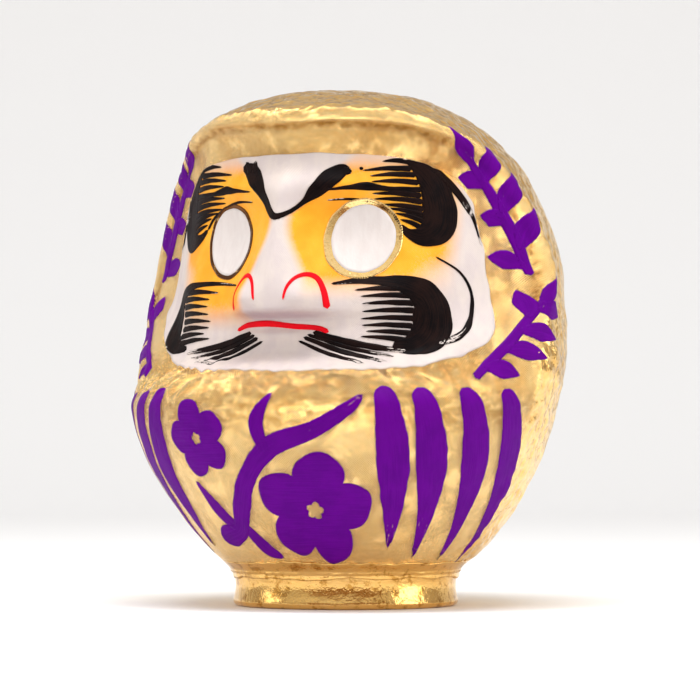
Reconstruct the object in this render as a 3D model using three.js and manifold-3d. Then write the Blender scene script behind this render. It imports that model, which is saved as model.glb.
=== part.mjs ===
// A gilt papier-mache daruma doll on a round foot.
// Millimetres, +Z up. The doll faces -Y and stands on z = 0, centred on the Z axis.
import * as THREE from 'three';
import { mergeVertices } from 'three/addons/utils/BufferGeometryUtils.js';
import Module from 'manifold-3d';

const wasm = await Module();
wasm.setup();

// ---------------------------------------------------------------- driving dimensions
const HEIGHT = 204.3;          // floor to the crown
const BODY_RADIUS = 87.6;      // widest radius of the egg-shaped body
const WIDEST_Z = 111;          // height of that radius
const LOWER_DEPTH = 112.4;     // semi-axis of the lower half-egg
const CROWN_POWER = 2.1;       // how full the upper half-egg is
const CROWN_ROUND = 2.52;
const CROWN_BACK = 6;          // the crown sits this far forward of the axis
const SEAM_Z = 14.9;           // underside of the shell
const WALL = 4;                // wall of the moulded paper pulp
const MOUTH_RADIUS = 38;       // open underside of the shell

const FACE_Z = 134.6;          // middle of the painted face
const FACE_HALF_HEIGHT = 42;
const FACE_HALF_ANGLE = 77;    // degrees round the body
const LEFT_TUCK = 7;           // how far its lower left corner is drawn in
const EYE = { x: 28.6, z: 143.5, radiusX: 11.2, radiusZ: 13.4, ring: 2.4 };

const FOOT = { radius: 45.2, inner: 41, height: 14.6, edge: 1.8, waist: 0.9, waistZ: 8 };
const COVER_THICKNESS = 0.8;
const WEIGHT_TOP = 12.6;
const JOINT_STRIP = { thickness: 0.6, bottom: 11, top: 17.6, clearance: 0.6 };

const GAP = 0.3;               // clearance between touching solids
const COAT = { lift: 0.35, thickness: 0.4 };      // paint laid straight on the gilding
const FACE_INK = { lift: 1.1, thickness: 0.4 };   // paint laid on the white face coat
const CUTTER = { lift: -1.4, thickness: 4.6 };    // reach of an outline through the paint layers
const OUTER_SKIN = { step: 10, segments: 48 };    // rows and columns of the body's facets
const CAVITY_SKIN = { step: 20, segments: 24 };

const STRIPE_ANGLES = [35, 45, 58, 71];           // tops of the shoulder stripes, degrees from the front

const GOLD = { color: 0xe0bd72, roughness: 0.35, metalness: 1 };
const WHITE_COAT = { color: 0xf0e6df, roughness: 0.5, metalness: 0 };
const EYE_WHITE = { color: 0xeee8e4, roughness: 0.55, metalness: 0 };
const PURPLE = { color: 0x4b0278, roughness: 0.45, metalness: 0 };
const BLACK_INK = { color: 0x120a0c, roughness: 0.4, metalness: 0 };
const RED_INK = { color: 0xe0101c, roughness: 0.45, metalness: 0 };
const CLAY = { color: 0x9a7a5a, roughness: 0.9, metalness: 0 };
const CARD = { color: 0xb9a27c, roughness: 0.85, metalness: 0 };

// ---------------------------------------------------------------- the body surface
const { clamp, lerp, degToRad, radToDeg } = THREE.MathUtils;

const ease = (from, to, x) => {
  const t = clamp((x - from) / (to - from), 0, 1);
  return t * t * (3 - 2 * t);
};

const smoothMin = (a, b, k) => {
  const h = clamp(0.5 + 0.5 * (b - a) / k, 0, 1);
  return lerp(b, a, h) - k * h * (1 - h);
};

const smoothMax = (a, b, k) => -smoothMin(-a, -b, k);

// Radius of the plain egg at a height.
function eggRadius(z) {
  if (z < WIDEST_Z) return BODY_RADIUS * Math.sqrt(1 - ((WIDEST_Z - z) / LOWER_DEPTH) ** 2);
  const t = clamp((z - WIDEST_Z) / (HEIGHT - WIDEST_Z), 0, 1);
  return BODY_RADIUS * (1 - t ** CROWN_POWER) ** (1 / CROWN_ROUND);
}

// The axis leans forward towards the crown.
const axisY = (z) => -CROWN_BACK * ease(172, 204, z);

// Distance from the axis to an upright plane that faces `facing` degrees off the front.
function planeDistance(angle, z, facing, distance) {
  const reach = Math.max(distance + axisY(z) * Math.cos(degToRad(facing)), 1);
  return reach / Math.max(Math.cos(angle - degToRad(facing)), 0.08);
}

// The flat front of the hood: one plane ahead and one on each cheek.
function hoodFront(angle, z) {
  const cheek = 50.2 + 15.5 * (1 - ease(88, 136, z)) + 4.5 * ease(174, 190, z);
  const front = planeDistance(angle, z, 0, 52 + 4 * ease(174, 190, z));
  return smoothMin(front, planeDistance(angle, z, 37.6, cheek), 14);
}

// The mask stands proud of the hood: forehead, cheeks and side walls.
function maskFront(angle, z) {
  const lean = (z - 140) * 0.1;
  const middle = smoothMin(
    planeDistance(angle, z, 0, 59), planeDistance(angle, z, 25, 54.5 - lean), 8);
  const sides = smoothMin(middle, planeDistance(angle, z, 54, 60.5 - lean), 6);
  return smoothMin(sides, planeDistance(angle, z, 0, 50.5 + (178 - z) * 0.8), 8);
}

// A soft bump mirrored in x.
const bump = (x, z, atX, atZ, wide, high) =>
  Math.exp(-(((Math.abs(x) - atX) / wide) ** 2) - ((z - atZ) / high) ** 2);

// Nose, nostril wings, brow ridges, sockets, cheeks, lips and chin.
function faceRelief(x, z) {
  const noseWidth = 6.5 + 11 * (1 - ease(118, 158, z));
  const ridge = 3.5 + 7.5 * (1 - ease(122, 160, z));
  const length = (1 - ease(158, 172, z)) * ease(111, 117, z);
  return ridge * Math.exp(-((x / noseWidth) ** 2)) * length
    + 5 * bump(x, z, 11.5, 120.5, 6, 6) * ease(111, 117, z)
    + 3 * bump(x, z, 22, 164, 20, 6)
    - 3.6 * bump(x, z, EYE.x + 2, 146, 17, 15)
    + 2.5 * bump(x, z, 38, 121, 16, 9)
    + 1.9 * bump(x, z, 0, 109, 18, 5)
    + 2.2 * bump(x, z, 0, 99, 16, 5);
}

// Distance of the outer surface from the axis; angle in radians, 0 at the front.
function bodyRadius(angle, z, withFace = true) {
  const around = Math.abs(angle);
  const egg = eggRadius(z);
  const ledge = 65 + (95.5 - z) / Math.tan(degToRad(22));
  const ledgeBlend = 6 + 16 * ease(degToRad(30), degToRad(70), around);
  const head = smoothMax(hoodFront(around, z), maskFront(around, z), 3);
  const cut = smoothMax(head, ledge, ledgeBlend);
  const rimBlend = 24 - 14 * ease(92, 122, z);
  const lip = 2.4 * Math.exp(-(((cut - egg) / 9) ** 2)) * ease(104, 122, z);
  const swell = 5.4 * Math.exp(-(((z - 95) / 14) ** 2)) + 2.4 * Math.exp(-(((z - 130) / 18) ** 2));
  const shoulder = swell * Math.exp(-(((around - 1.4) / 0.36) ** 2));
  const belly = 2.2 * (1 - ease(1.2, 1.9, around)) * ease(36, 60, z) * (1 - ease(68, 88, z));
  const radius = smoothMin(egg, cut, rimBlend) + lip + shoulder + belly;
  if (!withFace || around > 1.4) return radius;
  return radius + faceRelief(radius * Math.sin(angle), z);
}

// A point on the body, moved out along the surface normal by `lift`.
function bodyPoint(angle, z, lift = 0, withFace = true) {
  const at = (a, h) => {
    const r = bodyRadius(a, h, withFace);
    return new THREE.Vector3(r * Math.sin(a), axisY(h) - r * Math.cos(a), h);
  };
  const point = at(angle, z);
  if (lift === 0) return point;
  const step = 0.6;
  const sideways = at(angle + step / BODY_RADIUS, z).sub(at(angle - step / BODY_RADIUS, z));
  const upward = at(angle, Math.min(z + step, HEIGHT)).sub(at(angle, z - step));
  return point.addScaledVector(sideways.cross(upward).normalize(), lift);
}

// ---------------------------------------------------------------- geometry helpers
const pair = (x, y) => new THREE.Vector2(x, y);

// Applies `place(x, y, z)` to every vertex and welds the result.
function warp(geometry, place) {
  const welded = weld(geometry);
  const position = welded.getAttribute('position');
  for (let i = 0; i < position.count; i += 1) {
    const target = place(position.getX(i), position.getY(i), position.getZ(i));
    position.setXYZ(i, target.x, target.y, target.z);
  }
  return welded;
}

function weld(geometry) {
  geometry.deleteAttribute('normal');
  geometry.deleteAttribute('uv');
  return mergeVertices(geometry, 1e-4);
}

function toSolid(geometry) {
  const vertProperties = new Float32Array(geometry.getAttribute('position').array);
  const triVerts = new Uint32Array(geometry.getIndex().array);
  return new wasm.Manifold(new wasm.Mesh({ numProp: 3, vertProperties, triVerts }));
}

function toGeometry(solid) {
  const mesh = solid.getMesh();
  const geometry = new THREE.BufferGeometry();
  geometry.setAttribute('position', new THREE.BufferAttribute(mesh.vertProperties, 3));
  geometry.setIndex(new THREE.BufferAttribute(mesh.triVerts, 1));
  return geometry;
}

const join = (pieces) => pieces.map(toSolid).reduce((a, b) => a.add(b));

// The biggest body of a solid, without slivers.
const biggest = (solid) => solid.decompose().reduce((a, b) => (a.volume() > b.volume() ? a : b));

// A ring or disc turned about Z from [radius, z] corners.
function turned(corners, segments = 40) {
  const lathe = new THREE.LatheGeometry(corners.map(([r, z]) => pair(r, z)), segments);
  return lathe.rotateX(Math.PI / 2);
}

// ---------------------------------------------------------------- paint on the body
// Outline of a brush stroke through [degrees, z, width] points, cut through the paint layers.
function stroke(points, along = 8, across = 1) {
  const path = new THREE.CatmullRomCurve3(points.map(([a, z, w]) => new THREE.Vector3(a, z, w)));
  const box = new THREE.BoxGeometry(1, 1, 1, along, across, 1);
  return warp(box, (x, y, depth) => {
    const here = path.getPoint(x + 0.5);
    const way = path.getTangent(x + 0.5);
    const perDegree = degToRad(bodyRadius(degToRad(here.x), here.y));
    const direction = pair(way.x * perDegree, way.y).normalize();
    const offset = y * here.z;
    const angle = degToRad(here.x - direction.y * offset / perDegree);
    const lift = CUTTER.lift + CUTTER.thickness * (depth + 0.5);
    return bodyPoint(angle, here.y + direction.x * offset, lift);
  });
}

// The same for a patch whose outline is rim(turn) -> [degrees, z], filled towards `centre`.
function patch(centre, rim, segments, rings, hole = 0) {
  const profile = [];
  for (let i = 0; i <= rings; i += 1) profile.push(pair(lerp(hole, 1, i / rings), 0));
  for (let i = rings; i >= 0; i -= 1) profile.push(pair(lerp(hole, 1, i / rings), 1));
  if (hole > 0) profile.push(profile[0].clone());
  profile.reverse();
  return warp(new THREE.LatheGeometry(profile, segments), (x, height, z) => {
    const turn = Math.atan2(x, z);
    const reach = Math.hypot(x, z);
    const [a, h] = rim(turn);
    const angle = degToRad(lerp(centre[0], a, reach));
    return bodyPoint(angle, lerp(centre[1], h, reach), CUTTER.lift + CUTTER.thickness * height);
  });
}

// Heights of the rows of vertices, close together where the surface runs outwards.
function rowHeights(step, withFace) {
  const rows = [SEAM_Z];
  const travel = (from, to) => Math.max(...[0, 35, 75, 120, 180].map((degrees) => {
    const angle = degToRad(degrees);
    return bodyPoint(angle, from, 0, withFace).distanceTo(bodyPoint(angle, to, 0, withFace));
  }));
  while (rows.at(-1) < HEIGHT - 0.4) {
    let rise = step;
    while (travel(rows.at(-1), Math.min(rows.at(-1) + rise, HEIGHT)) > step && rise > 0.3) rise *= 0.9;
    rows.push(Math.min(rows.at(-1) + rise, HEIGHT));
  }
  rows[rows.length - 1] = HEIGHT;
  return rows;
}

// A closed skin of the body, `lift` outside its surface.
function bodySkin({ step, segments }, lift, withFace) {
  const rows = rowHeights(step, withFace);
  const profile = [pair(0, rows[0]), ...rows.map((z) => pair(z === HEIGHT ? 0 : 1, z))];
  return warp(new THREE.LatheGeometry(profile, segments), (x, height, z) => {
    if (Math.hypot(x, z) < 0.5) {
      return new THREE.Vector3(0, axisY(height), height === HEIGHT ? height + lift : height);
    }
    const turn = Math.atan2(x, z);
    return bodyPoint(turn - 0.3 * Math.sin(turn), height, lift, withFace);
  });
}

const outerSkin = (lift) => toSolid(bodySkin(OUTER_SKIN, lift, true));

// A thin layer of paint over the body, everywhere at once.
const layerOf = ({ lift, thickness }) => outerSkin(lift + thickness).subtract(outerSkin(lift));
const overGilding = layerOf(COAT);
const overFaceCoat = layerOf(FACE_INK);

const paint = (outline, layer) => toGeometry(biggest(layer.intersect(outline)));

const mirrored = (points) => points.map(([a, z, w]) => [-a, z, w]);
const flip = (points, side) => (side < 0 ? mirrored(points) : points);

// ---------------------------------------------------------------- the scene
const doll = new THREE.Group();

function add(name, geometry, look) {
  const mesh = new THREE.Mesh(geometry, new THREE.MeshStandardMaterial(look));
  mesh.name = name;
  doll.add(mesh);
}

function makeShell() {
  const cavity = toSolid(bodySkin(CAVITY_SKIN, -WALL, false));
  const [below, above] = [SEAM_Z - WALL, SEAM_Z + 2 * WALL];
  const mouth = toSolid(weld(turned([[0, below], [MOUTH_RADIUS, below], [MOUTH_RADIUS, above],
    [0, above]], CAVITY_SKIN.segments)));
  return toGeometry(outerSkin(0).subtract(cavity.add(mouth)));
}

function makeFoot() {
  const { radius, inner, height, edge, waist, waistZ } = FOOT;
  return turned([[inner, 0], [radius - edge, 0], [radius, edge], [radius - waist, waistZ],
    [radius, height], [inner, height], [inner, 0]]);
}

function makeJointStrip() {
  const { thickness, bottom, top, clearance } = JOINT_STRIP;
  const inside = FOOT.radius + GAP;
  const under = FOOT.height - 0.1;
  const shoulder = eggRadius(SEAM_Z) + clearance;
  const flare = eggRadius(top) + clearance;
  return turned([[inside, bottom], [inside + thickness, bottom], [inside + thickness, under - thickness],
    [shoulder + thickness, under - thickness], [flare + thickness, top], [flare, top],
    [shoulder, under], [inside, under], [inside, bottom]]);
}

const disc = (radius, bottom, top) => turned([[0, bottom], [radius, bottom], [radius, top], [0, top]]);

add('shell', makeShell(), GOLD);
add('foot_ring', makeFoot(), GOLD);
add('joint_strip', makeJointStrip(), GOLD);
add('foot_cover', disc(FOOT.inner - GAP, 0, COVER_THICKNESS), CARD);
add('weight', disc(FOOT.inner - GAP, COVER_THICKNESS + GAP, WEIGHT_TOP), CLAY);

// White coat of the face: a rounded rectangle, its lower left corner drawn in.
function faceRim(turn) {
  const c = Math.cos(turn);
  const s = Math.sin(turn);
  const reach = (Math.abs(c) ** 4 + Math.abs(s) ** 4) ** -0.25;
  const z = FACE_Z + FACE_HALF_HEIGHT * reach * c;
  const tuck = s < 0 ? LEFT_TUCK * (1 - ease(98, 118, z)) : 0;
  return [(FACE_HALF_ANGLE - tuck) * reach * s, z];
}

add('face_coat', paint(toSolid(patch([0, FACE_Z], faceRim, 32, 3)), overGilding), WHITE_COAT);

// Azimuth in degrees of a face point, from its sideways distance.
function faceAngle(x, z) {
  let around = degToRad(33);
  for (let i = 0; i < 6; i += 1) around = Math.asin(x / bodyRadius(around, z));
  return radToDeg(around);
}

function eyeRim(side, grow) {
  return (turn) => {
    const z = EYE.z + (EYE.radiusZ + grow) * Math.cos(turn);
    return [side * faceAngle(EYE.x + (EYE.radiusX + grow) * Math.sin(turn) * side, z), z];
  };
}

for (const [side, label] of [[-1, 'left'], [1, 'right']]) {
  const centre = [side * faceAngle(EYE.x, EYE.z), EYE.z];
  const hole = (EYE.radiusZ + 2 * GAP) / (EYE.radiusZ + EYE.ring);
  const white = toSolid(patch(centre, eyeRim(side, 0), 20, 1));
  const ring = toSolid(patch(centre, eyeRim(side, EYE.ring), 20, 1, hole));
  add(`eye_${label}`, paint(white, overFaceCoat), EYE_WHITE);
  add(`eye_ring_${label}`, paint(ring, overFaceCoat), GOLD);
}

const inkLine = (points, along) => paint(toSolid(stroke(points, along)), overFaceCoat);

// Brows like cranes and whiskers like tortoises, the old blessing of long life.
const BROW = [[51, 173.4, 3], [58, 168.5, 9], [62, 160, 13.5], [62, 150.5, 13.5], [56, 145, 8],
  [50, 146.5, 2]];
const WHISKER = [[33, 126.2, 1.5], [42, 126.6, 4], [49, 124.6, 9], [55, 120.5, 13], [56.5, 114, 15],
  [53.5, 106.5, 13], [44, 101.8, 3]];
const NOSTRIL = [[5.2, 119.5, 1], [6.4, 125.5, 1.3], [11.8, 129.2, 1.7], [16.4, 126, 1.9],
  [18.8, 116.2, 2.4]];
// The left brow and whisker sit further round: from these degrees, over these, by these.
const LEFT_BROW = [38, 18, 5, 1];
const LEFT_WHISKER = [24, 10, 8, 0.62];

for (const [side, label] of [[-1, 'left'], [1, 'right']]) {
  const place = (points, [start, over, by, narrow]) => {
    if (side > 0) return points;
    return points.map(([a, z, w]) => [-a - by * ease(start, start + over, a), z, w * narrow]);
  };
  add(`brow_${label}`, inkLine(place(BROW, LEFT_BROW), 8), BLACK_INK);
  add(`whisker_${label}`, inkLine(place(WHISKER, LEFT_WHISKER), 12), BLACK_INK);
  add(`nostril_line_${label}`, inkLine(flip(NOSTRIL, side), 8), RED_INK);
}

add('frown', inkLine([[-24, 172.4, 3], [-13.5, 165.8, 6], [-6, 155.5, 3.4], [-1, 152, 2.4],
  [8, 157.6, 2], [18, 166, 6.5], [26, 170.8, 2.4]], 12), BLACK_INK);
add('mouth', inkLine([[-21, 108.4, 1.4], [-13, 110.5, 2], [0, 110.3, 2.2], [12, 109.1, 2],
  [19, 107.3, 1.6]], 8), RED_INK);

// Four long strokes on each shoulder, tapering downwards.
for (const [side, label] of [[-1, 'left'], [1, 'right']]) {
  STRIPE_ANGLES.forEach((degrees, i) => {
    const drift = 7 + 2.5 * i;
    const points = [[degrees, 85, 6], [degrees + 0.2 * drift, 75, 10], [degrees + 0.5 * drift, 58, 12.5],
      [degrees + 0.8 * drift, 40, 7], [degrees + drift, 24, 1.5]];
    add(`stripe_${label}_${i + 1}`, paint(toSolid(stroke(flip(points, side))), overGilding), PURPLE);
  });
}

// Two plum blossoms and their twig on the belly.
const BLOSSOMS = {
  large: { angle: 15.5, z: 39, reach: 13.2, petal: 8.8, hole: 3.4, turn: 10 },
  small: { angle: -18.5, z: 66.5, reach: 9, petal: 6.2, hole: 2.4, turn: -14 },
};

// The outline of five round petals that run into each other.
function blossomRim({ angle, z, reach, petal, turn: leanBy }) {
  const fifth = 2 * Math.PI / 5;
  const perDegree = degToRad(bodyRadius(degToRad(angle), z));
  return (turn) => {
    const lean = THREE.MathUtils.euclideanModulo(turn - degToRad(leanBy) + fifth / 2, fifth) - fifth / 2;
    const radius = reach * Math.cos(lean) + Math.sqrt(petal ** 2 - (reach * Math.sin(lean)) ** 2);
    return [angle + radius * Math.sin(turn) / perDegree, z + radius * Math.cos(turn)];
  };
}

for (const [size, flower] of Object.entries(BLOSSOMS)) {
  const hole = flower.hole / (flower.reach + flower.petal);
  const petals = patch([flower.angle, flower.z], blossomRim(flower), 40, 1, hole);
  add(`blossom_${size}`, paint(toSolid(petals), overGilding), PURPLE);
}

add('twig', paint(join([
  stroke([[-29, 27, 3], [-24, 28.5, 8], [-16, 31, 6.5], [-10.5, 40, 7.5], [-4, 52, 7], [5, 63.5, 8],
    [17, 70, 6.5], [26, 78, 5], [29.5, 82.5, 2]], 16),
  stroke([[-13, 33, 4], [-8, 24, 6], [-2, 20.5, 1.5]], 4),
  stroke([[-17, 31.5, 4], [-22, 39, 6.5], [-25, 50, 1.5]], 4),
  stroke([[3, 61, 4], [1.5, 73, 6], [5.5, 84, 1.5]], 4),
]), overGilding), PURPLE);

// Leafy sprays on the hood beside the face. Each leaf is [place along the stem, side, length].
const SPRAYS = {
  upper: { from: [87.5, 130], to: [74.5, 175], bow: 3.2,
    leaves: [[0.06, -1, 14], [0.2, 1, 19], [0.42, -1, 10], [0.5, 1, 19], [0.74, -1, 13], [0.78, 1, 17]] },
  lower: { from: [63.5, 89.5], to: [88, 120], bow: 1.5,
    leaves: [[0.14, 1, 15], [0.4, 1, 18], [0.64, 1, 17], [0.8, -1, 11], [0.9, 1, 14]] },
};
const SKIN_SCALE = 1.48;       // millimetres per degree beside the face
const LEAF = { tilt: degToRad(50), width: 7.6, droop: 0.1 };

function sprayStrokes({ from, to, bow, leaves }) {
  const start = pair(from[0] * SKIN_SCALE, from[1]);
  const way = pair(to[0] * SKIN_SCALE, to[1]).sub(start);
  const along = way.clone().normalize();
  const across = pair(along.y, -along.x);
  const onStem = (share) => start.clone().addScaledVector(way, share)
    .addScaledVector(across, bow * Math.sin(Math.PI * share));
  const at = (place, width) => [place.x / SKIN_SCALE, place.y, width];
  const stem = [[0, 2.6], [0.33, 3.6], [0.66, 3.2], [1, 2.4]].map(([share, w]) => at(onStem(share), w));
  const leaf = ([share, side, length]) => {
    const root = onStem(share);
    const tilted = along.clone().multiplyScalar(Math.cos(LEAF.tilt))
      .addScaledVector(across, side * Math.sin(LEAF.tilt));
    const middle = root.clone().addScaledVector(tilted, length * 0.45)
      .addScaledVector(along, length * LEAF.droop);
    return [at(root, 1.6), at(middle, LEAF.width), at(root.clone().addScaledVector(tilted, length), 0.8)];
  };
  const top = [at(onStem(0.95), 2), at(onStem(1.12), 5.6), at(onStem(1.3), 0.8)];
  return [stem, ...leaves.map(leaf), top];
}

for (const [side, label] of [[-1, 'left'], [1, 'right']]) {
  for (const [part, spray] of Object.entries(SPRAYS)) {
    const strokes = sprayStrokes(spray).map((points) => stroke(flip(points, side), 4));
    add(`sprig_${part}_${label}`, paint(join(strokes), overGilding), PURPLE);
  }
}

export default doll;
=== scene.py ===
"""Looks of a gilt papier-mache daruma doll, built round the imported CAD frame.

The doll faces -Y. Shapes are worked out in millimetres and written to the meshes in metres.
"""
import math

import bpy
import numpy as np
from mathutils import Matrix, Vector, noise
from mathutils.bvhtree import BVHTree


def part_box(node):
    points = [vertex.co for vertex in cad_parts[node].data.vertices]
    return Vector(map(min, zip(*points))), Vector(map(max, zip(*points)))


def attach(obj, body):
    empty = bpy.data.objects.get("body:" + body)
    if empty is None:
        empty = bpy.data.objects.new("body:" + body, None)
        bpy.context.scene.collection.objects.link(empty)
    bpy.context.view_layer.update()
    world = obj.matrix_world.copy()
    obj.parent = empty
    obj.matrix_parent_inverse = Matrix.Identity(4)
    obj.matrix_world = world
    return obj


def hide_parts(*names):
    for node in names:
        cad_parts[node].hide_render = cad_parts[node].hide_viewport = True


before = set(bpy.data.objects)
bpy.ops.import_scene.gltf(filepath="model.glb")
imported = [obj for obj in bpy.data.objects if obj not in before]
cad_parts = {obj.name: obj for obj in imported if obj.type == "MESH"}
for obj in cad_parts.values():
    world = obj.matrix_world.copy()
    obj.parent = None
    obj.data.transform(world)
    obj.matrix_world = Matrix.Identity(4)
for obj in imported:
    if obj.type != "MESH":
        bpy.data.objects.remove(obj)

MM = 0.001
scene = bpy.context.scene
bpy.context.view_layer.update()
shell_low, shell_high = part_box("shell")

# ---------- sizes, mm
HEIGHT = shell_high.z / MM  # floor to the crown
BODY_RADIUS = shell_high.y / MM  # widest radius, read at the plain back
SEAM_Z = shell_low.z / MM  # underside of the shell
FOOT_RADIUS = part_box("foot_ring")[1].x / MM
FOOT_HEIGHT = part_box("foot_ring")[1].z / MM
FOOT_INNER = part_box("foot_cover")[1].x / MM + 0.3
COVER_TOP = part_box("foot_cover")[1].z / MM

WIDEST_Z = 111.0  # height of the widest girth
LOWER_DEPTH = 112.4  # the lower half would close this far below it
CROWN_FALL = 2.1  # powers of the crown's curve
CROWN_ROUND = 2.52
CROWN_BACK = 6.0  # how far the crown leans back
LEDGE_Z = 95.5  # the ledge above the belly passes here,
LEDGE_REACH = 65.0  # this far from the axis,
LEDGE_SLOPE = 22.0  # falling forwards by so many degrees
WALL = 3.0  # least thickness of the pulp under its relief
INNER_SLACK = 2.2  # room for the relief outside

FACE_Z = 134.6  # middle of the painted face
FACE_HALF_HEIGHT = 42.0
FACE_HALF_ANGLE = 77.0
LEFT_TUCK = 7.0  # degrees that its lower left corner is drawn in
EYE_X = 28.6
EYE_Z = 143.5
EYE_RADIUS = (11.2, 13.4)  # across and up
RING_WIDTH = {1: 2.4, -1: 1.6}  # right and left eye ring
GROOVE = 5.4  # the groove, with painted shade in it, runs where past_rim is minus this
DIMPLE = 4.8  # size of the dimples in the crown and back

PAINT_LIFT = 0.12  # top of a coat of paint over what it lies on
INK_LIFT = 0.22  # ink and eye rings on the face coat
OVER_LIFT = 0.24  # ink that may lie over other ink
EYE_LIFT = 0.3
PAINT_SINK = 0.25  # how far the underside of a coat reaches in
FACE_BED = 0.45  # how far the shell is pressed in under the face coat
FACE_SINK = 1.0  # how far the underside of the face coat reaches in
FACE_EDGE = 0.25  # how much thicker the face coat is at its edge
STROKE_STEP = 0.9  # mesh spacing in a brush stroke
SPAN_STEPS = 24
THINNEST = 0.3  # least width of a stroke
CAST_FROM = 6.0  # paint is cast onto the skin from this far outside it,
CAST_LENGTH = 14.0  # and looks for it over this distance
RIM_FOOT = 100.0  # the hood's rim is followed down to this height
SIDE_ANGLE = 1.4  # the shoulders stand out here, and the face's relief stops, in radians
SIDES = ((-1, "left"), (1, "right"))  # as seen from the front


# ---------- the body surface
def ease(low, high, x):
    """Goes smoothly from 0 at low to 1 at high."""
    t = np.clip((x - low) / (high - low), 0, 1)
    return t * t * (3 - 2 * t)


def band(x, a, b, c, d):
    """Rises from 0 to 1 between a and b, and falls back between c and d."""
    return ease(a, b, x) * (1 - ease(c, d, x))


def hump(x, middle, width):
    """1 at the middle, fading to 0 on both sides."""
    return np.exp(-((x - middle) / width) ** 2)


def smooth_min(a, b, k):
    h = np.clip(0.5 + 0.5 * (b - a) / k, 0, 1)
    return b * (1 - h) + a * h - k * h * (1 - h)


def smooth_max(a, b, k):
    return -smooth_min(-a, -b, k)


def egg_radius(z):
    lower = np.sqrt(np.clip(1 - ((WIDEST_Z - z) / LOWER_DEPTH) ** 2, 0, 1))
    rise = np.clip((z - WIDEST_Z) / (HEIGHT - WIDEST_Z), 0, 1)
    upper = np.clip(1 - rise ** CROWN_FALL, 0, 1) ** (1 / CROWN_ROUND)
    return BODY_RADIUS * np.where(z < WIDEST_Z, lower, upper)


def axis_y(z):
    return -CROWN_BACK * ease(172, 204, z)


def plane_distance(around, z, facing, distance):
    """Reach of the body, in the direction `around`, to a plane facing so many degrees off the front."""
    facing = math.radians(facing)
    reach = np.maximum(distance + axis_y(z) * math.cos(facing), 1)
    return reach / np.maximum(np.cos(around - facing), 0.08)


def hood_front(around, z):
    """Reach to the flat front and cheeks of the hood."""
    cheek = 50.2 + 15.5 * (1 - ease(88, 136, z)) + 4.5 * ease(174, 190, z)
    front = plane_distance(around, z, 0, 52 + 4 * ease(174, 190, z))
    return smooth_min(front, plane_distance(around, z, 37.6, cheek), 14)


def mask_front(around, z):
    """Reach to the faceted front of the mask."""
    lean = (z - 140) * 0.1
    middle = smooth_min(
        plane_distance(around, z, 0, 59), plane_distance(around, z, 25, 54.5 - lean), 8)
    sides = smooth_min(middle, plane_distance(around, z, 54, 60.5 - lean), 6)
    return smooth_min(sides, plane_distance(around, z, 0, 50.5 + (178 - z) * 0.8), 8)


def bump(x, z, at_x, at_z, wide, high):
    """1 at (at_x, at_z) and at its mirror image, fading to 0 around them."""
    return np.exp(-((np.abs(x) - at_x) / wide) ** 2 - ((z - at_z) / high) ** 2)


def face_relief(x, z):
    """Nose, sockets, brow ridges, cheeks, lips and chin."""
    width = 6.5 + 11 * (1 - ease(118, 158, z))
    ridge = 3.5 + 7.5 * (1 - ease(122, 160, z))
    nose = ridge * hump(x, 0, width) * (1 - ease(158, 172, z)) * ease(112, 116, z)
    return (nose
            + 5.0 * bump(x, z, 11.5, 120.5, 6, 6) * ease(112, 116, z)
            + 3.0 * bump(x, z, 22, 164, 20, 5)
            - 3.6 * bump(x, z, EYE_X + 2, 146, 17, 15)
            + 2.5 * bump(x, z, 38, 121, 16, 8)
            + 1.6 * bump(x, z, 0, 111.6, 20, 1.8)
            + 1.9 * bump(x, z, 0, 106.4, 17, 2.2)
            + 2.2 * bump(x, z, 0, 99, 16, 4))


def body_radius(angle, z, with_face=True):
    """Distance from the axis to the skin; angles are 0 at the front and grow towards +X."""
    around = np.abs(angle)
    egg = egg_radius(z)
    ledge = LEDGE_REACH + (LEDGE_Z - z) / math.tan(math.radians(LEDGE_SLOPE))
    ledge_blend = 6 + 16 * ease(math.radians(30), math.radians(70), around)
    head = smooth_max(hood_front(around, z), mask_front(around, z), 3)
    cut = smooth_max(head, ledge, ledge_blend)
    rim_blend = 24 - 15 * ease(92, 122, z)
    lip = (2.4 + 1.6 * ease(170, 188, z)) * hump(cut - egg, 0, 6.5) * ease(104, 122, z)
    shoulder = (5.4 * hump(z, 95, 14) + 2.4 * hump(z, 130, 18)) * hump(around, SIDE_ANGLE, 0.36)
    belly = 2.2 * (1 - ease(1.2, 1.9, around)) * band(z, 36, 60, 68, 88)
    radius = smooth_min(egg, cut, rim_blend) + lip + shoulder + belly
    if not with_face:
        return radius
    return radius + np.where(around < SIDE_ANGLE, face_relief(radius * np.sin(angle), z), 0)


def body_point(angle, z, with_face=True):
    radius = body_radius(angle, z, with_face)
    return np.stack([radius * np.sin(angle), axis_y(z) - radius * np.cos(angle), z + 0 * radius], -1)


def body_normal(angle, z):
    step = 0.5
    turn = step / BODY_RADIUS
    across = body_point(angle + turn, z) - body_point(angle - turn, z)
    up = body_point(angle, np.minimum(z + step, HEIGHT)) - body_point(angle, z - step)
    normal = np.cross(across, up)
    length = np.linalg.norm(normal, axis=-1, keepdims=True)
    return np.where(length > 1e-6, normal / np.maximum(length, 1e-6), [0, 0, 1])


# ---------- noise fields
def field(points, size, seed):
    """Smooth noise from -1 to 1 at each point, with lumps about `size` mm across."""
    flat = np.asarray(points).reshape(-1, 3) / size + seed
    values = [noise.noise(p) for p in flat.tolist()]
    return np.array(values).reshape(np.shape(points)[:-1])


def dimples(points, size):
    """Round hollows side by side: 0 in the middle of each and 1 on the ridges between them."""
    flat = np.asarray(points).reshape(-1, 3) / size
    nearest = [noise.voronoi(p)[0][0] for p in flat.tolist()]
    return np.clip(np.array(nearest).reshape(np.shape(points)[:-1]) / 0.7, 0, 1) ** 1.6


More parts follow.
